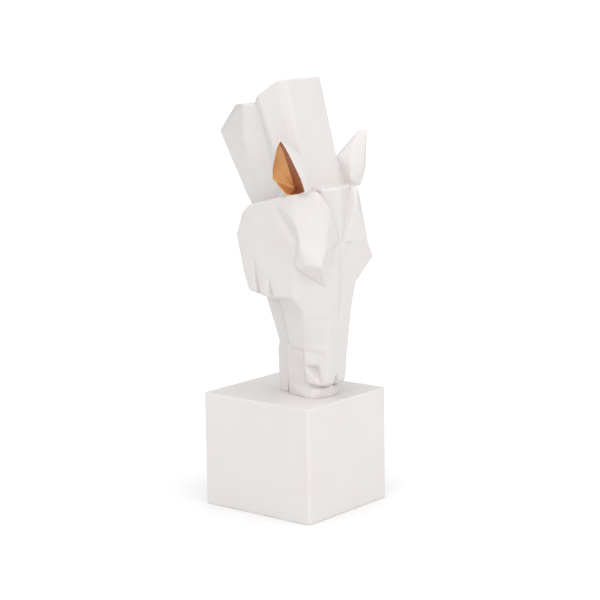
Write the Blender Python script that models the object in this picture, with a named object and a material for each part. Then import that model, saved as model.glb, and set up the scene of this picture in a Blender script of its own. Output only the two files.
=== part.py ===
"""A faceted resin horse head, nose down on a square-edged plinth.

Metres, +Z up. The origin is the middle of the plinth's underside, the horse looks
towards -Y and its left side is +X. The head is one casting, set on the plinth.
"""
import bpy
import bmesh

# Plinth
PLINTH_WIDTH = 0.122
PLINTH_DEPTH = 0.131
PLINTH_HEIGHT = 0.112
PLINTH_EDGE_RADIUS = 0.0035
PLINTH_EDGE_STEPS = 3

# Head: its height above the plinth, and the height that its corners are drawn at.
HEAD_HEIGHT = 0.305
DRAWN_HEIGHT = 305.0
SEAT_GAP = 0.0003

# Corners of the head that several blocks share, as left side, forward (-), up, in drawing
# units from the middle of the plinth's top. The right side mirrors the left.
FOREHEAD_TOP = (0, -60.0, 203.0)
FOREHEAD_END = (0, -60.2, 152.0)
BROW_TOP = (26.2, -52.7, 201.6)
BROW_TOP_OUTER = (31.0, -56.8, 199.0)
BROW_CREST = (40.2, -45.6, 187.5)
BROW_INNER_TOP = (19.8, -62.7, 186.0)
BROW_INNER_END = (10.5, -60.6, 150.8)
BROW_RIDGE_TOP = (24.6, -61.3, 187.2)
BROW_RIDGE_LOW = (32.6, -66.5, 147.8)
BROW_CORNER = (40.4, -66.5, 132.5)
BROW_SIDE_HIGH = (48.0, -39.9, 174.5)
BROW_SIDE_NOTCH = (49.5, -48.5, 153.5)
BROW_SIDE_LOW = (48.5, -53.8, 135.0)
CHEEKBONE = (21.8, -59.6, 109.0)
NOSE_SIDE_TOP = (45.0, -36.6, 126.6)
NOSE_SIDE_HIGH = (45.0, -36.0, 101.2)
NOSE_SIDE_MID = (35.0, -39.8, 84.7)
NOSE_SIDE_LOW = (24.6, -31.2, 47.3)
NOSE_RIDGE_LOW = (14.4, -54.0, 40.0)
NOSE_RIDGE_END = (14.6, -52.2, 15.0)
LIP_CORNER = (13.6, -49.2, 11.0)
EAR_TIP = (67.0, -39.7, 252.0)

RESIN_COLOUR = (0.86, 0.84, 0.82, 1.0)
PLINTH_COLOUR = (0.84, 0.82, 0.80, 1.0)
RESIN_ROUGHNESS = 0.45


def clear_scene():
    for thing in list(bpy.data.objects):
        bpy.data.objects.remove(thing, do_unlink=True)


def resin(name, colour):
    material = bpy.data.materials.new(name)
    material.use_nodes = True
    shader = material.node_tree.nodes["Principled BSDF"]
    shader.inputs["Base Color"].default_value = colour
    shader.inputs["Roughness"].default_value = RESIN_ROUGHNESS
    shader.inputs["Metallic"].default_value = 0.0
    return material


def mirrored(corners):
    return [(-x, y, z) for x, y, z in corners if x != 0]


def seated(corner):
    """Drawing units to metres, standing on the plinth."""
    unit = HEAD_HEIGHT / DRAWN_HEIGHT
    x, y, z = corner
    return (x * unit, y * unit, z * unit + PLINTH_HEIGHT + SEAT_GAP)


def hull(name, corners):
    """The convex block that spans the corners."""
    mesh = bpy.data.meshes.new(name)
    work = bmesh.new()
    for corner in corners:
        work.verts.new(seated(corner))
    result = bmesh.ops.convex_hull(work, input=work.verts)
    unused = set(result["geom_interior"]) | set(result["geom_unused"])
    loose = [item for item in unused if isinstance(item, bmesh.types.BMVert)]
    bmesh.ops.delete(work, geom=loose, context="VERTS")
    bmesh.ops.recalc_face_normals(work, faces=work.faces)
    work.to_mesh(mesh)
    work.free()
    block = bpy.data.objects.new(name, mesh)
    bpy.context.collection.objects.link(block)
    return block


def across(name, corners):
    """One block that reaches over the middle to the mirrored corners."""
    return [hull(name, corners + mirrored(corners))]


def each_side(name, corners):
    """A block on the left and its mirrored twin on the right."""
    return [hull(name + "_left", corners), hull(name + "_right", mirrored(corners))]


def combine(body, blocks, operation):
    """Boolean modifiers that add the blocks to the body, or cut them from it."""
    for block in blocks:
        modifier = body.modifiers.new(block.name, "BOOLEAN")
        modifier.operation = operation
        modifier.solver = "EXACT"
        modifier.object = block
        block.hide_render = True
        block.display_type = "WIRE"


def skull():
    core = [(30, -46, 202.6), (32, -8, 196), (40, -12, 186), (41, -36, 192), (36, -44, 150),
            (30, 6, 110), (36, -30, 110), (18, -55, 118)]
    forehead = [FOREHEAD_TOP, (22, -53.5, 203), FOREHEAD_END, (22, -40, 203), (14, -45, 140)]
    return across("skull", core) + across("forehead", forehead)


def brows():
    upper = [BROW_TOP, BROW_INNER_TOP, BROW_INNER_END, (3.5, -61, 150.5), BROW_RIDGE_TOP, BROW_RIDGE_LOW,
             BROW_SIDE_NOTCH, BROW_SIDE_HIGH, BROW_TOP_OUTER, BROW_CREST, (44.8, -17, 191),
             (41.5, -36.5, 202.5), (47.6, -31.5, 181),
             (43, -18.9, 180.4), (43, -28.4, 166.9), (43, -36.7, 158.1),
             (9, -45, 180), (9, -45, 152), (28, -38, 201), (30, -18, 188), (34, -25, 154)]
    lower = [BROW_RIDGE_LOW, BROW_CORNER, BROW_SIDE_NOTCH, BROW_INNER_END, CHEEKBONE,
             BROW_SIDE_LOW, (47.5, -41.2, 136.3), (47.4, -45.3, 129.3), (38, -28, 150),
             (44.6, -39.2, 130.6), (34, -29, 127), (42, -33, 130),
             (20, -59.8, 131), (10, -45, 125), (12, -40, 150)]
    return each_side("upper_brow", upper) + each_side("lower_brow", lower)


def jowls():
    plate = [(44, 17.5, 186.5), (42, 28.5, 178), (41, 37, 156), (41, 29.5, 123), (42.5, 21.5, 103),
             (45, -4, 99), (45, -35.6, 101), (45, -36.3, 126.9), (45, -42, 150),
             (45.2, -36, 176), (45, -17, 191), (45, -24, 197),
             (24, 8, 187), (24, 22, 176), (24, 30, 156), (24, 22, 123), (24, 15, 103),
             (20, -2, 91), (22, -16, 91), (24, -18.5, 190)]
    bar = [(13, 26, 96), (10, 10.5, 48), (18, -1, 90), (16, -8, 47), (10, -14, 47), (10, -14, 96)]
    return each_side("jowl", plate) + across("jaw", bar)


def nose():
    cheek = [FOREHEAD_END, (20, -59.9, 131), CHEEKBONE, (18.8, -58.6, 97), (16.5, -56.9, 82),
             NOSE_SIDE_TOP, NOSE_SIDE_HIGH, NOSE_SIDE_MID, (44.8, -39, 131), (30, -8, 124),
             (33, -6, 97), (25, -8, 84), (10, -40, 140), (9, -59.8, 149.5)]
    bridge = [(18.6, -58.4, 96), (15.8, -56.3, 77), NOSE_RIDGE_LOW, (30, -40, 92),
              NOSE_SIDE_MID, NOSE_SIDE_LOW, (28.5, -8.5, 92.4), (26, -12.1, 64.5), (23, -13, 48)]
    return across("cheek", cheek) + across("nose", bridge)


def muzzle():
    shelf = [(14, -51, 52), (24, -30.5, 52), (21.5, -8, 52), (18.3, -4.6, 46), (17.3, -3.6, 30),
             (18.8, -24, 28), (14, -48, 28)]
    body = [(17.4, -3.6, 39), (19, -24, 39), (14, -50, 39), (15.6, -4.6, 4), (17.4, -24, 4),
            (12, -44, 12.5), (14, -47, 20)]
    core = [(9, -12, 0), (9, 4, 0), (9, -12, 46), (9, 4, 46)]
    wing = [(14.3, -53.3, 46), NOSE_RIDGE_LOW, NOSE_RIDGE_END, LIP_CORNER, NOSE_SIDE_LOW,
            (22.6, -29.3, 32), (21.3, -31.6, 13), (17.3, -45, 12.3), (0, -50, 46), (0, -49, 14),
            (8, -30, 46), (8, -30, 13)]
    lower_lip = [(15.4, -5, 0), (18.4, -15, 0), (21.8, -30.2, 0), (21.2, -37.5, 0), (15.6, -42.5, 0),
                 (7, -46, 0), (0, -47.5, 0), (15.6, -5, 14), (17, -24, 11), (18.6, -38.3, 9),
                 (14, -43, 9.5), (0, -46.3, 10)]
    chin = [(10, 13, 42), (14, -2, 43), (10, 10, 52), (14, -8, 52), (9.5, 12, 0), (13, -2, 0)]
    return (across("muzzle_shelf", shelf) + across("muzzle", body) + across("jaw_core", core)
            + across("nostril_wings", wing) + across("lower_lip", lower_lip) + across("chin", chin))


def neck():
    crest = [(22, 8, 281.5), (30.5, 19, 281.5), (33, 33, 281), (20, 53, 278.5), (10, 82.5, 251.5),
             (33, 33, 249), (28.3, 6, 225), (26, -2, 211), (20.5, 35.5, 197), (10, 44.5, 195),
             (20, 34, 182), (10, 42, 180), (25, -16, 192), (25, 10, 180)]
    return across("neck", crest)


def mane():
    slab = [(25.6, -15.4, 305), (25.9, -43.5, 196), (30.6, -7.5, 303.6), (36.4, 11, 290),
            (31, -34.5, 196), (34.5, -22, 196), (30.5, 19.5, 284.8), (28, -10, 196)]
    return across("mane", slab)


def ears():
    leaf = [EAR_TIP, (61.5, -36, 253), (64.5, -42.8, 248.5), (60.4, -45.2, 239), (55.4, -48, 226),
            (50.4, -51, 215.4), (43.6, -50.4, 200), (58.9, -44, 241.7), (52.5, -48.1, 233),
            (47.5, -51.1, 223.5), (42.5, -53, 214), (35.5, -50.5, 202), (45.7, -40.4, 241.4),
            (36, -45, 231.4), (30, -49, 220), (27.7, -51, 206.7), (48.7, -17.4, 227),
            (46, -12.5, 214), (44, -25, 198), (28, -20, 215),
            (28, -44, 200), (29, -32, 229)]
    return each_side("ear", leaf)


def nostrils():
    notch = [(22.3, -29.9, 31.7), (17.5, -45.2, 32.5), (16.8, -45.9, 13), (14, -37.9, 27.2),
             (26.8, -33.5, 32.9), (22, -48.8, 33.9), (21.3, -49.5, 14.2)]
    return each_side("nostril", notch)


def lip_notch():
    """The small cleft in the middle of the upper lip."""
    cleft = [(0, -55, 22.5), (0, -47, 20), (5, -57, 8), (2.5, -47, 8), (1.5, -57, 22)]
    return across("lip_notch", cleft)


def mouth():
    gap = [(30, -5.6, -6), (30, -1.4, -6), (30, -3.4, 42), (30, -2.8, 42),
           (11, -4.6, -6), (11, -2.2, -6), (13, -3.3, 36), (13, -2.9, 36)]
    return each_side("mouth", gap)


def jaw_channel():
    """The space between the two jowls, open behind."""
    space = [(25, 44, 170), (22, 44, 98), (13, 8, 160), (12, 12, 104), (25, 44, 90)]
    return across("jaw_channel", space)


def nose_groove():
    """A shallow V down the front of the nose that runs out above the muzzle."""
    vee = [(0, -60, 150), (1.5, -60.6, 150), (1.5, -75, 150),
           (0, -57.6, 128), (2.8, -60.2, 128), (2.8, -75, 128),
           (0, -55.6, 84), (2.4, -57.5, 84), (2.4, -75, 84),
           (0, -56.1, 66), (1.0, -57.2, 66), (1.0, -75, 66)]
    return across("nose_groove", vee)


def temple_grooves():
    """The hollow behind each brow, which dips into the jowl and rises steeply to the brow."""
    groove = [(45.2, -16.5, 190), (43.2, -19.1, 180.5), (43.2, -28.6, 167), (43.2, -36.9, 158.2),
              (45.4, -43, 153), (45.2, -14.5, 177.3), (45.2, -24, 163.8), (45.2, -33, 154.6),
              (51, -39, 181), (51, -46.5, 179), (51, -48, 163), (49.5, -48, 151.5),
              (52, -14.5, 177.3), (52, -24, 163.8), (52, -33, 154.6), (52, -20, 190)]
    return each_side("temple_groove", groove)


def cheek_grooves():
    """Two shallow V grooves that run down each jowl to its lower edge, and one on the jaw."""
    rear = [(42, 14.5, 139), (50, 15.6, 140.5), (50, 13.5, 140.5),
            (37.5, 7, 96), (50, 1, 96), (50, 15.5, 96)]
    front = [(44, -5, 122), (50, -3.6, 123), (50, -6.4, 123),
             (38, -9.5, 96), (50, -14.5, 96), (50, -2, 96)]
    jaw = [(14.2, -1.6, 84), (30, -1, 84), (30, -4, 84),
           (13.2, -5.4, 50), (30, -10.5, 50), (30, 0.5, 50)]
    return (each_side("rear_groove", rear) + each_side("front_groove", front)
            + each_side("jaw_groove", jaw))


def ear_hollows():
    mouth_edge = [(65.3, -41.0, 249.8), (60.4, -45.0, 239), (55.4, -47.8, 226), (50.4, -50.6, 215.4),
                  (43.8, -50.0, 203), (44.5, -27, 199.5), (46.5, -15, 213), (49.5, -19.5, 226.5),
                  (58.5, -30, 240.5)]
    outward = (8.3, -0.6, -5.6)
    outer_edge = [tuple(a + b for a, b in zip(corner, outward)) for corner in mouth_edge]
    fold = [(57, -37, 240), (33.5, -31.5, 203)]
    return each_side("ear_hollow", mouth_edge + outer_edge + fold)


def horse_head():
    blocks = skull() + brows() + jowls() + nose() + muzzle() + neck() + mane() + ears()
    cuts = (temple_grooves() + nostrils() + lip_notch() + mouth() + jaw_channel() + nose_groove()
            + cheek_grooves() + ear_hollows())
    head = bpy.data.objects.new("horse_head", blocks[0].data.copy())
    bpy.context.collection.objects.link(head)
    bpy.data.objects.remove(blocks[0])
    combine(head, blocks[1:], "UNION")
    combine(head, cuts, "DIFFERENCE")
    head.data.materials.append(resin("white_resin", RESIN_COLOUR))
    return head


def plinth():
    bpy.ops.mesh.primitive_cube_add(size=1, location=(0, 0, PLINTH_HEIGHT / 2))
    block = bpy.context.object
    block.name = "plinth"
    block.scale = (PLINTH_WIDTH, PLINTH_DEPTH, PLINTH_HEIGHT)
    bpy.ops.object.transform_apply(location=False, rotation=False, scale=True)
    rounding = block.modifiers.new("rounded_edges", "BEVEL")
    rounding.width = PLINTH_EDGE_RADIUS
    rounding.segments = PLINTH_EDGE_STEPS
    block.data.materials.append(resin("plinth_resin", PLINTH_COLOUR))
    return block


def main():
    clear_scene()
    plinth()
    horse_head()


main()
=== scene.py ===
# A faceted resin horse head on a plinth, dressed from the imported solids.
# The head is the solid's own form with its arrises worn soft, and the ears are painted bronze inside.
import math
import bpy
import bmesh
import numpy as np
from mathutils import Matrix, Vector


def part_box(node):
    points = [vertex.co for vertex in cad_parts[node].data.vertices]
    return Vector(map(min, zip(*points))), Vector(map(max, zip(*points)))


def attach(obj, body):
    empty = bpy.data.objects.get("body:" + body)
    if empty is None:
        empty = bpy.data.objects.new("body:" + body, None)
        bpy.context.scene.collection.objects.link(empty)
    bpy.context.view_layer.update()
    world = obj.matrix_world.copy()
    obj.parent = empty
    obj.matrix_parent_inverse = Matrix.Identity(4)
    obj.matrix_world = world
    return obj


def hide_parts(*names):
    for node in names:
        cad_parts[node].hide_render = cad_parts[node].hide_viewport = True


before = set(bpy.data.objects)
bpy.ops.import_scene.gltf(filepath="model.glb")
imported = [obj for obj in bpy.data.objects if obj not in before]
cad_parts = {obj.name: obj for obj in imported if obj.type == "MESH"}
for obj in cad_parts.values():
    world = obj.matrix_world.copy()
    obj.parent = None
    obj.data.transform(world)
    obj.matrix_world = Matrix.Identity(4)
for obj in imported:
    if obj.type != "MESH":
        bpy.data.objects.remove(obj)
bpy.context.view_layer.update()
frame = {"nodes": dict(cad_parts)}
print("stage: frame loaded,", ", ".join(frame["nodes"]))


# Shader tools

class Shade:
    """Wraps a shader socket, so that sums and products of sockets are written as plain Python."""

    def __init__(self, tree, socket):
        self.tree = tree
        self.socket = socket

    def math(self, operation, *others):
        """A Math node with this socket first and the others, sockets or numbers, after it."""
        node = self.tree.nodes.new("ShaderNodeMath")
        node.operation = operation
        for place, value in enumerate((self,) + others):
            plug(self.tree, node.inputs[place], value)
        return Shade(self.tree, node.outputs[0])

    def __add__(self, other):
        return self.math("ADD", other)

    def __sub__(self, other):
        return self.math("SUBTRACT", other)

    def __rsub__(self, other):
        return (self * -1.0).math("ADD", other)

    def __mul__(self, other):
        return self.math("MULTIPLY", other)

    def abs(self):
        return self.math("ABSOLUTE")

    def larger(self, other):
        return self.math("MAXIMUM", other)

    def step(self, low, high, outLow=0.0, outHigh=1.0):
        """Runs smoothly from outLow to outHigh while the value runs from low to high."""
        return makeNode(self.tree, "ShaderNodeMapRange", {"interpolation_type": "SMOOTHSTEP"},
                        {"Value": self, "From Min": low, "From Max": high,
                         "To Min": outLow, "To Max": outHigh})


def plug(tree, socket, value):
    """Links a Shade to the socket, or sets the socket to a plain value."""
    if isinstance(value, Shade):
        tree.links.new(value.socket, socket)
    else:
        socket.default_value = value


def makeNode(tree, kind, settings=None, values=None, output=0):
    """A node with its settings, then the values or links of its sockets; gives one of its outputs."""
    node = tree.nodes.new(kind)
    for name, value in (settings or {}).items():
        setattr(node, name, value)
    for name, value in (values or {}).items():
        plug(tree, node.inputs[name], value)
    return Shade(tree, node.outputs[output])


def noise(tree, place, scale, detail):
    """Noise about 0.5, with as many spots to a metre as the scale says."""
    return makeNode(tree, "ShaderNodeTexNoise", {"noise_dimensions": "3D"},
                    {"Vector": place, "Scale": scale, "Detail": detail})


def dot(tree, first, second):
    """The dot product of two vectors: how far the first reaches along the second."""
    return makeNode(tree, "ShaderNodeVectorMath", {"operation": "DOT_PRODUCT"}, {0: first, 1: second}, 1)


def mixColour(tree, share, first, second):
    """first where share is 0, second where it is 1."""
    return makeNode(tree, "ShaderNodeMix", {"data_type": "RGBA"}, {0: share, 6: first, 7: second}, 2)


def freshMaterial(name):
    """A new material, with its node tree and its main shader."""
    material = bpy.data.materials.new(name)
    material.use_nodes = True
    return material, material.node_tree, material.node_tree.nodes["Principled BSDF"]


def linearFromScreen(red, green, blue):
    """Screen colour 0-255 to the linear colour that a shader takes, by the sRGB curve."""
    share = np.array([red, green, blue]) / 255.0
    return tuple(np.where(share <= 0.04045, share / 12.92, ((share + 0.055) / 1.055) ** 2.4)) + (1.0,)


# Object and mesh tools

def showObject(name, content):
    """A new object at the origin that holds the mesh, light or camera."""
    thing = bpy.data.objects.new(name, content)
    bpy.context.scene.collection.objects.link(thing)
    return thing


def evaluatedMesh(thing):
    """A new mesh of the object as its modifiers leave it."""
    bpy.context.view_layer.update()
    return bpy.data.meshes.new_from_object(thing.evaluated_get(bpy.context.evaluated_depsgraph_get()))


def readPoints(mesh):
    """The mesh's points as an array, a row each."""
    points = np.empty(len(mesh.vertices) * 3)
    mesh.vertices.foreach_get("co", points)
    return points.reshape(-1, 3)


def readEdges(mesh):
    """The two points of each edge, by number, a row each."""
    edges = np.empty(len(mesh.edges) * 2, dtype=np.int64)
    mesh.edges.foreach_get("vertices", edges)
    return edges.reshape(-1, 2)


def readNormals(mesh):
    """The outward direction at each point, a row each."""
    normals = np.empty(len(mesh.vertices) * 3)
    mesh.vertex_normals.foreach_get("vector", normals)
    return normals.reshape(-1, 3)


def writePoints(mesh, points):
    """Puts the rows of the array back into the mesh."""
    mesh.vertices.foreach_set("co", points.ravel())
    mesh.update()


def thinnedMesh(thing, most):
    """Collapses the shortest edges of the flat places until no more than that many triangles are left."""
    triangles = sum(len(face.vertices) - 2 for face in thing.data.polygons)
    thin = thing.modifiers.new("thin", "DECIMATE")
    thin.ratio = min(1.0, most / triangles)
    mesh = evaluatedMesh(thing)
    thing.modifiers.clear()
    return mesh


# The head, in metres apart from what is drawn

headForm = {
    "drawnHeight": 305.0,    # the head's height in the drawing, in millimetres
    "sameSpot": 1e-6,        # corners closer than this are one
    "voxel": 0.00072,        # grid that the solid is drawn again on
    "firstPasses": 4,        # takes off the grid's own steps
    "firstPull": 0.5,
    "wearPasses": 16,        # rounds the arrises and leaves the creases
    "wearPull": 0.55,
    "creasePull": 0.05,
    "slidePull": 0.3,        # evens out the points within the surface
    "earPull": 0.22,         # the ears are thin, so they wear less
    "earFloor": 0.318,       # height where the ears begin
    "earSide": 0.036,
    "footHeight": 0.0022,    # the foot's own edge stays sharp against the plinth
    "footDrop": 0.00025,     # and reaches down over the solids' gap
    # nose side, drawn as in the solid: ridge and rear edge, each low end first
    "noseRidge": [(14.4, -54.0, 47.5), (16.5, -56.9, 84)],
    "noseRear": [(24.6, -31.2, 47.5), (35.0, -39.8, 84)],
    "noseReach": 0.006,
    "noseFade": 0.15,        # share of its height over which the ruling fades in and out
    # slow unevenness of a hand-finished casting
    "waveWays": [(1.0, 0.4, 0.7), (-0.5, 1.0, 0.6), (0.7, -0.8, 1.1), (0.3, 1.3, -0.9)],
    "waveShift": 1.7,        # angle by which each sine starts after the one before
    "waveSize": 0.030,
    "waveDepth": 0.00016,
    "triangles": 170000,     # what the worn form is thinned to
}


def fromDrawing(corners):
    """Drawn corners, in millimetres above the plinth, to metres in the shared frame."""
    headLow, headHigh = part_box("horse_head")
    unit = (headHigh[2] - headLow[2]) / headForm["drawnHeight"]
    return np.array(corners, dtype=float) * unit + np.array([0.0, 0.0, headLow[2]])


def redrawnSolid(node, form):
    """The node's triangles, merged and drawn again on an even voxel grid."""
    mesh = frame["nodes"][node].data.copy()
    work = bmesh.new()
    work.from_mesh(mesh)
    bmesh.ops.remove_doubles(work, verts=work.verts, dist=form["sameSpot"])
    work.to_mesh(mesh)
    work.free()
    blank = showObject(node + "_grid", mesh)
    blank.matrix_world = frame["nodes"][node].matrix_world
    remesh = blank.modifiers.new("grid", "REMESH")
    remesh.mode = "VOXEL"
    remesh.voxel_size = form["voxel"]
    result = evaluatedMesh(blank)
    result.transform(blank.matrix_world)
    bpy.data.objects.remove(blank)
    return result


def pullToNeighbours(points, edges):
    """For every point, the way from it to the mean of the points that it shares an edge with."""
    count = np.bincount(edges.ravel(), minlength=len(points))
    total = np.empty_like(points)
    for axis in range(3):
        total[:, axis] = (np.bincount(edges[:, 0], points[edges[:, 1], axis], len(points))
                          + np.bincount(edges[:, 1], points[edges[:, 0], axis], len(points)))
    return total / count[:, None] - points


def wearArrises(mesh, form):
    """Moves each point towards its neighbours' mean: most where the surface bulges, hardly where it
    is hollow, so that arrises round off while creases stay sharp, as on a rubbed-down casting. The
    moves fade out towards the foot, and the foot itself drops a little."""
    points = readPoints(mesh)
    edges = readEdges(mesh)
    foot = points[:, 2].min()
    free = np.clip((points[:, 2] - foot) / form["footHeight"], 0.0, 1.0)
    for _ in range(form["firstPasses"]):
        points += form["firstPull"] * pullToNeighbours(points, edges) * free[:, None]
    inEar = (points[:, 2] > form["earFloor"]) & (np.abs(points[:, 0]) > form["earSide"])
    for _ in range(form["wearPasses"]):
        writePoints(mesh, points)
        normals = readNormals(mesh)
        pull = pullToNeighbours(points, edges)
        inward = np.einsum("ij,ij->i", pull, normals)
        strength = np.where(inward < 0, form["wearPull"], form["creasePull"])
        strength = np.where(inEar, strength * form["earPull"], strength)
        slide = form["slidePull"] * (pull - inward[:, None] * normals)
        move = strength[:, None] * inward[:, None] * normals + slide
        points += move * free[:, None]
    points[:, 2] -= form["footDrop"] * (1.0 - free)
    writePoints(mesh, points)


def ruleNoseSide(mesh, form):
    """The solid's nose side is two flat triangles. Between its ridge and its rear edge each point moves
    onto the straight line from one to the other at its own height, weighted by the root of the sine of
    its place between the edges, so that the side turns evenly."""
    points = readPoints(mesh)
    ridge = fromDrawing(form["noseRidge"])
    rear = fromDrawing(form["noseRear"])
    rise = (points[:, 2] - ridge[0, 2]) / (ridge[1, 2] - ridge[0, 2])
    front = ridge[0] + (ridge[1] - ridge[0]) * rise[:, None]
    back = rear[0] + (rear[1] - rear[0]) * rise[:, None]
    across = (back - front)[:, :2]
    fromRidge = np.stack([np.abs(points[:, 0]), points[:, 1]], axis=1) - front[:, :2]
    length = np.linalg.norm(across, axis=1)
    share = np.einsum("ij,ij->i", fromRidge, across) / length ** 2
    off = (fromRidge[:, 0] * across[:, 1] - fromRidge[:, 1] * across[:, 0]) / length
    near = (share > 0) & (share < 1) & (rise > 0) & (rise < 1) & (np.abs(off) < form["noseReach"])
    weight = np.where(near, np.sqrt(np.sin(math.pi * np.clip(share, 0, 1))), 0.0)
    weight *= np.clip(np.minimum(rise, 1 - rise) / form["noseFade"], 0, 1)
    move = -(off * weight / length)[:, None] * np.stack([across[:, 1], -across[:, 0]], axis=1)
    points[:, 0] += move[:, 0] * np.sign(points[:, 0])
    points[:, 1] += move[:, 1]
    writePoints(mesh, points)


def addWaves(mesh, form):
    """Adds along the normals the mean of a few slow sines that cross at odd angles."""
    points = readPoints(mesh)
    normals = readNormals(mesh)
    ways = np.array(form["waveWays"])
    turns = points @ ways.T * (2 * math.pi / form["waveSize"]) + np.arange(len(ways)) * form["waveShift"]
    height = np.sin(turns).sum(axis=1)
    points += normals * (height * form["waveDepth"] / len(ways))[:, None]
    writePoints(mesh, points)


headMesh = redrawnSolid("horse_head", headForm)
print("stage: head drawn again,", len(headMesh.vertices), "points")
wearArrises(headMesh, headForm)
ruleNoseSide(headMesh, headForm)
addWaves(headMesh, headForm)
head = showObject("resinHead", headMesh)
head.data = thinnedMesh(head, headForm["triangles"])
head.data.shade_smooth()
print("stage: arrises worn,", len(head.data.polygons), "faces")


# The plinth

plinthForm = {
    "cornerRadius": 0.0034,  # the upright corners
    "edgeRadius": 0.0010,    # the level edges, above and below
    "arcSteps": 8,
    "sideSteps": 26,
}


def roundedOutline(halfWidth, halfDepth, form):
    """Plan of a rectangle with quarter-round corners, anticlockwise: the arcs' centres repeated for
    each point, with straight runs from one to the next, and each point's outward direction."""
    radius = form["cornerRadius"]
    arc = np.linspace(0, math.pi / 2, form["arcSteps"] + 1)
    quarters = [(1, 1), (-1, 1), (-1, -1), (1, -1)]
    centres = np.array([(sx * (halfWidth - radius), sy * (halfDepth - radius)) for sx, sy in quarters])
    share = np.linspace(0, 1, form["sideSteps"] + 1)[1:-1, None]
    places = []
    ways = []
    for corner, centre in enumerate(centres):
        angle = arc + corner * math.pi / 2
        way = np.stack([np.cos(angle), np.sin(angle)], axis=1)
        places.append(np.tile(centre, (len(arc), 1)))
        ways.append(way)
        places.append(centre * (1 - share) + centres[(corner + 1) % len(centres)] * share)
        ways.append(np.tile(way[-1], (len(share), 1)))
    return np.concatenate(places), np.concatenate(ways)


def carriedProfile(outline, ways, profile):
    """Carries a profile of (out, up, shrink) steps round the outline: a ring's points are
    (place + way * out) * shrink, at height up."""
    rings = []
    for out, up, shrink in profile:
        ring = np.empty((len(outline), 3))
        ring[:, :2] = (outline + ways * out) * shrink
        ring[:, 2] = up
        rings.append(ring)
    return np.stack(rings)


def gridFaces(rings, around):
    """Quads between neighbouring rings that close on themselves."""
    row, col = np.meshgrid(np.arange(rings - 1), np.arange(around), indexing="ij")
    nextCol = (col + 1) % around
    return np.stack([row * around + col, row * around + nextCol,
                     (row + 1) * around + nextCol, (row + 1) * around + col], axis=-1).reshape(-1, 4)


def plinthProfile(low, high, form):
    """From the middle of the underside outwards, up the wall and back in over the top, with a quarter
    circle at each edge: rows of (out, up, shrink)."""
    radius = form["cornerRadius"]
    edge = form["edgeRadius"]
    arc = np.linspace(0, math.pi / 2, form["arcSteps"] + 1)
    shrinks = np.linspace(0.0, 1.0, form["sideSteps"] // 2)[1:]
    walls = np.linspace(low + edge, high - edge, form["sideSteps"])[1:-1]
    under = [(0.0, low, shrink) for shrink in shrinks]
    bottomArc = [(radius - edge * (1 - math.sin(a)), low + edge * (1 - math.cos(a)), 1.0) for a in arc]
    wall = [(radius, up, 1.0) for up in walls]
    topArc = [(radius - edge * (1 - math.cos(a)), high - edge * (1 - math.sin(a)), 1.0) for a in arc]
    over = [(0.0, high, shrink) for shrink in shrinks[::-1]]
    return under + bottomArc + wall + topArc + over


def buildPlinth(form):
    """The profile carried round the outline, and a fan of triangles in the middle of each flat end."""
    low, high = (np.array(corner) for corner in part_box("plinth"))
    halfWidth, halfDepth = (high - low)[:2] / 2
    outline, ways = roundedOutline(halfWidth, halfDepth, form)
    rings = carriedProfile(outline, ways, plinthProfile(low[2], high[2], form))
    count, around = rings.shape[:2]
    centre = (low + high) / 2
    points = rings.reshape(-1, 3)
    points[:, :2] += centre[:2]
    poles = [(centre[0], centre[1], low[2]), (centre[0], centre[1], high[2])]
    first = np.arange(around)
    last = (count - 1) * around + first
    underFan = np.stack([np.full(around, len(points)), np.roll(first, -1), first], axis=1)
    overFan = np.stack([np.full(around, len(points) + 1), last, np.roll(last, -1)], axis=1)
    mesh = bpy.data.meshes.new("plinthBlock")
    mesh.from_pydata(points.tolist() + poles, [],
                     gridFaces(count, around).tolist() + underFan.tolist() + overFan.tolist())
    mesh.shade_smooth()
    return showObject("plinthBlock", mesh)


plinth = buildPlinth(plinthForm)
print("stage: plinth built,", len(plinth.data.polygons), "faces")


# The resin

resinLook = {
    "head": linearFromScreen(209, 205, 203),
    "headShaded": linearFromScreen(207, 202, 199),
    "plinth": linearFromScreen(212, 208, 206),
    "plinthShaded": linearFromScreen(211, 206, 204),
    "mottleSize": 22.0,
    "mottleDetail": 3.0,
    "mottleColour": (0.35, 0.75),    # noise values between which the colour turns
    "mottleGloss": (0.3, 0.7),       # and the roughness
    "roughness": (0.44, 0.49),
    "grainSize": 900.0,
    "grainDetail": 2.0,
    "grainDepth": 0.00003,
    "grainStrength": 0.25,
}


def resinBase(tree, shader, look, name):
    """Warm white with a faint slow mottle, and a very fine casting grain in the bump."""
    place = makeNode(tree, "ShaderNodeTexCoord", output=3)
    mottle = noise(tree, place, look["mottleSize"], look["mottleDetail"])
    colour = mixColour(tree, mottle.step(*look["mottleColour"]), look[name], look[name + "Shaded"])
    grain = noise(tree, place, look["grainSize"], look["grainDetail"])
    bump = makeNode(tree, "ShaderNodeBump", None, {"Strength": look["grainStrength"],
                                                   "Distance": look["grainDepth"], "Height": grain})
    plug(tree, shader.inputs["Roughness"], mottle.step(*look["mottleGloss"], *look["roughness"]))
    plug(tree, shader.inputs["Normal"], bump)
    return place, colour, mottle


# The bronze paint in the ears

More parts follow.
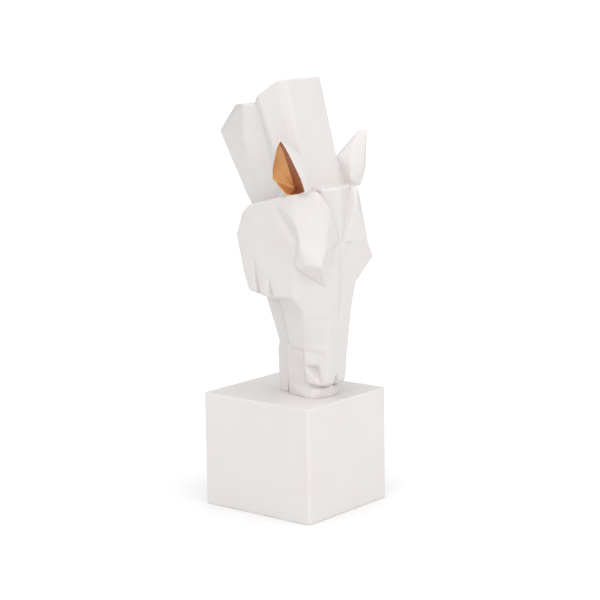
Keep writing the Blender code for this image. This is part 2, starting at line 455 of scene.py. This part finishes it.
earPaint = {
    # corners of the hollow, left side, drawn as in the solid, in millimetres above the plinth
    "mouth": [(65.3, -41.0, 249.8), (60.4, -45.0, 239), (55.4, -47.8, 226), (50.4, -50.6, 215.4),
              (43.8, -50.0, 203), (44.5, -27, 199.5), (46.5, -15, 213), (49.5, -19.5, 226.5),
              (58.5, -30, 240.5)],
    "outward": (8.3, -0.6, -5.6),
    "fold": [(57, -37, 240), (33.5, -31.5, 203)],
    "overlap": 0.0007,       # how far the paint laps over the edge
    "softness": 0.00035,
    "wobble": 0.0005,
    "wobbleSize": 260.0,
    "wobbleDetail": 2.0,
    "wobbleMiddle": 0.5,     # the noise's own mean
    "colour": linearFromScreen(203, 147, 93),
    "patch": linearFromScreen(192, 134, 82),
    "patchEdges": (0.4, 0.65),
    # painted shade: darker bronze for the hollow's front plane, which faces away from the light
    "paintedShadeBronze": linearFromScreen(146, 84, 52),
    "metallic": 0.60,
    "planeRound": 2,         # decimals of the normal that tell one plane from the next
    "planeZoom": 100,        # brings the offset in metres up to the same decimals
}


def hullPlanes(corners, paint):
    """The planes that bound the corners' convex hull, each as an outward normal and its offset."""
    work = bmesh.new()
    for corner in corners:
        work.verts.new(corner)
    bmesh.ops.convex_hull(work, input=work.verts)
    bmesh.ops.recalc_face_normals(work, faces=work.faces)
    planes = {}
    for face in work.faces:
        normal = np.array(face.normal)
        offset = float(normal @ np.array(face.verts[0].co))
        key = tuple(np.round(np.append(normal, offset * paint["planeZoom"]), paint["planeRound"]))
        planes[key] = (normal, offset)
    work.free()
    return list(planes.values())


def earCorners(paint):
    """The hollow's mouth, the same corners moved outward, and its fold."""
    mouth = np.array(paint["mouth"])
    return fromDrawing(np.concatenate([mouth, mouth + np.array(paint["outward"]), paint["fold"]]))


def foldPlane(paint):
    """Normal, towards the front, and offset of the plane that holds the fold and the outward way."""
    low, high = fromDrawing(paint["fold"])[::-1]
    normal = np.cross(np.array(paint["outward"]), high - low)
    normal *= -np.sign(normal[1]) / np.linalg.norm(normal)
    return normal, float(normal @ low)


def leftSide(tree, place):
    """The place with its X made positive, so that the left ear's paint serves both ears."""
    parts = tree.nodes.new("ShaderNodeSeparateXYZ")
    plug(tree, parts.inputs[0], place)
    x, y, z = (Shade(tree, output) for output in parts.outputs)
    return makeNode(tree, "ShaderNodeCombineXYZ", None, {"X": x.abs(), "Y": y, "Z": z})


def paintEars(tree, shader, paint, place, colour, mottle):
    """Bronze wherever the largest distance past the hollow's planes, with a little noise added, is
    under the overlap, and a darker bronze in front of the fold: painted shade for the hollow's front
    plane."""
    folded = leftSide(tree, place)
    depth = None
    for normal, offset in hullPlanes(earCorners(paint), paint):
        reach = dot(tree, folded, tuple(normal)) - offset
        depth = reach if depth is None else depth.larger(reach)
    wobble = noise(tree, place, paint["wobbleSize"], paint["wobbleDetail"]) - paint["wobbleMiddle"]
    edge = depth + wobble * paint["wobble"]
    soft = paint["softness"]
    painted = edge.step(paint["overlap"] + soft, paint["overlap"] - soft)
    bronze = mixColour(tree, mottle.step(*paint["patchEdges"]), paint["colour"], paint["patch"])
    # Painted shade: the part of the hollow in front of the fold turns to the darker bronze.
    foldWay, foldOffset = foldPlane(paint)
    paintedShadeReach = dot(tree, folded, tuple(foldWay)) - foldOffset
    bronze = mixColour(tree, paintedShadeReach.step(-soft, soft), bronze, paint["paintedShadeBronze"])
    plug(tree, shader.inputs["Base Color"], mixColour(tree, painted, colour, bronze))
    plug(tree, shader.inputs["Metallic"], painted * paint["metallic"])


headResin, tree, shader = freshMaterial("headResin")
place, colour, mottle = resinBase(tree, shader, resinLook, "head")
paintEars(tree, shader, earPaint, place, colour, mottle)
head.data.materials.clear()
head.data.materials.append(headResin)
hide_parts("horse_head")
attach(head, "root")

plinthResin, tree, shader = freshMaterial("plinthResin")
place, colour, mottle = resinBase(tree, shader, resinLook, "plinth")
plug(tree, shader.inputs["Base Color"], colour)
plinth.data.materials.append(plinthResin)
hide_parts("plinth")
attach(plinth, "root")
print("stage: finishes on")


# Floor and light

studio = {
    "floorSize": 12.0,
    "floor": (0.81, 0.81, 0.81, 1.0),
    "floorRoughness": 0.9,
    "floorSpecular": 0.1,
    "skyColour": (1.0, 1.0, 1.0, 1.0),
    "skySeen": 1.02,         # what the camera sees behind the object
    "skyMiddle": 0.58,       # what comes from all round
    "skyTop": 1.20,          # what is added overhead
    "skySide": 1.02,         # what is added low on the bright side, and taken off opposite
    "skyWay": (-0.62, -0.78, 0.0),
    "keyWay": (-0.68, -0.70, 0.22),
    "keyDistance": 2.4,
    "keySize": 1.3,
    "keyPower": 0.5,
    "aimHeight": 0.2,
}


def layFloor(look):
    """A pale square that the plinth stands on."""
    half = look["floorSize"] / 2
    mesh = bpy.data.meshes.new("floor")
    mesh.from_pydata([(-half, -half, 0), (half, -half, 0), (half, half, 0), (-half, half, 0)], [],
                     [(0, 1, 2, 3)])
    paint, _, shader = freshMaterial("floorPaint")
    shader.inputs["Base Color"].default_value = look["floor"]
    shader.inputs["Roughness"].default_value = look["floorRoughness"]
    shader.inputs["Specular IOR Level"].default_value = look["floorSpecular"]
    mesh.materials.append(paint)
    floor = showObject("floor", mesh)


def lightSky(look):
    """Strength is middle + top * rise + side * lean * (1 - rise), where rise is the height of the
    direction and lean is how far it points to the bright side. The camera sees plain white."""
    world = bpy.data.worlds.new("studio")
    bpy.context.scene.world = world
    world.use_nodes = True
    tree = world.node_tree
    background = tree.nodes["Background"]
    background.inputs["Color"].default_value = look["skyColour"]
    seen = makeNode(tree, "ShaderNodeLightPath")
    way = makeNode(tree, "ShaderNodeTexCoord")
    rise = makeNode(tree, "ShaderNodeSeparateXYZ", None, {"Vector": way}, 2).larger(0.0)
    lean = dot(tree, way, Vector(look["skyWay"]).normalized())
    light = (rise * look["skyTop"] + lean * (1.0 - rise) * look["skySide"]
             + look["skyMiddle"]).larger(0.0)
    plug(tree, background.inputs["Strength"], light + seen * (look["skySeen"] - light))


def hangKey(look):
    """A round soft light, aimed at the middle of the object."""
    way = Vector(look["keyWay"]).normalized()
    key = bpy.data.lights.new("key", "AREA")
    key.shape = "DISK"
    key.size = look["keySize"]
    key.energy = look["keyPower"]
    lamp = showObject("key", key)
    lamp.location = way * look["keyDistance"] + Vector((0, 0, look["aimHeight"]))
    lamp.rotation_mode = "QUATERNION"
    lamp.rotation_quaternion = way.to_track_quat("Z", "Y")


layFloor(studio)
lightSky(studio)
hangKey(studio)


# Camera

photoView = {
    "azimuth": -50.94,
    "elevation": 10.02,
    "roll": -0.79,
    "distance": 1.807,
    "aim": (0.0, 0.0, 0.200),
    "slideRight": 0.0062,
    "slideUp": 0.0014,
    "lens": 111.36,
    "sensor": 36.0,
    "nearest": 0.05,
}


def aimCamera(see):
    """Looks from azimuth and elevation towards the aim, rolled, then slid right and up."""
    turn, rise, roll = (math.radians(see[name]) for name in ("azimuth", "elevation", "roll"))
    back = Vector((math.sin(turn) * math.cos(rise), -math.cos(turn) * math.cos(rise), math.sin(rise)))
    level = Vector((math.cos(turn), math.sin(turn), 0.0))
    upright = back.cross(level)
    right = level * math.cos(roll) + upright * math.sin(roll)
    up = -level * math.sin(roll) + upright * math.cos(roll)
    eye = Vector(see["aim"]) + right * see["slideRight"] + up * see["slideUp"] + back * see["distance"]
    lens = bpy.data.cameras.new("photoCamera")
    lens.lens = see["lens"]
    lens.sensor_width = see["sensor"]
    lens.clip_start = see["nearest"]
    camera = showObject("photoCamera", lens)
    camera.matrix_world = Matrix((
        (right.x, up.x, back.x, eye.x), (right.y, up.y, back.y, eye.y),
        (right.z, up.z, back.z, eye.z), (0, 0, 0, 1)))
    return camera


bpy.context.scene.camera = aimCamera(photoView)
bpy.context.scene.view_settings.view_transform = "Standard"
print("stage: studio set")
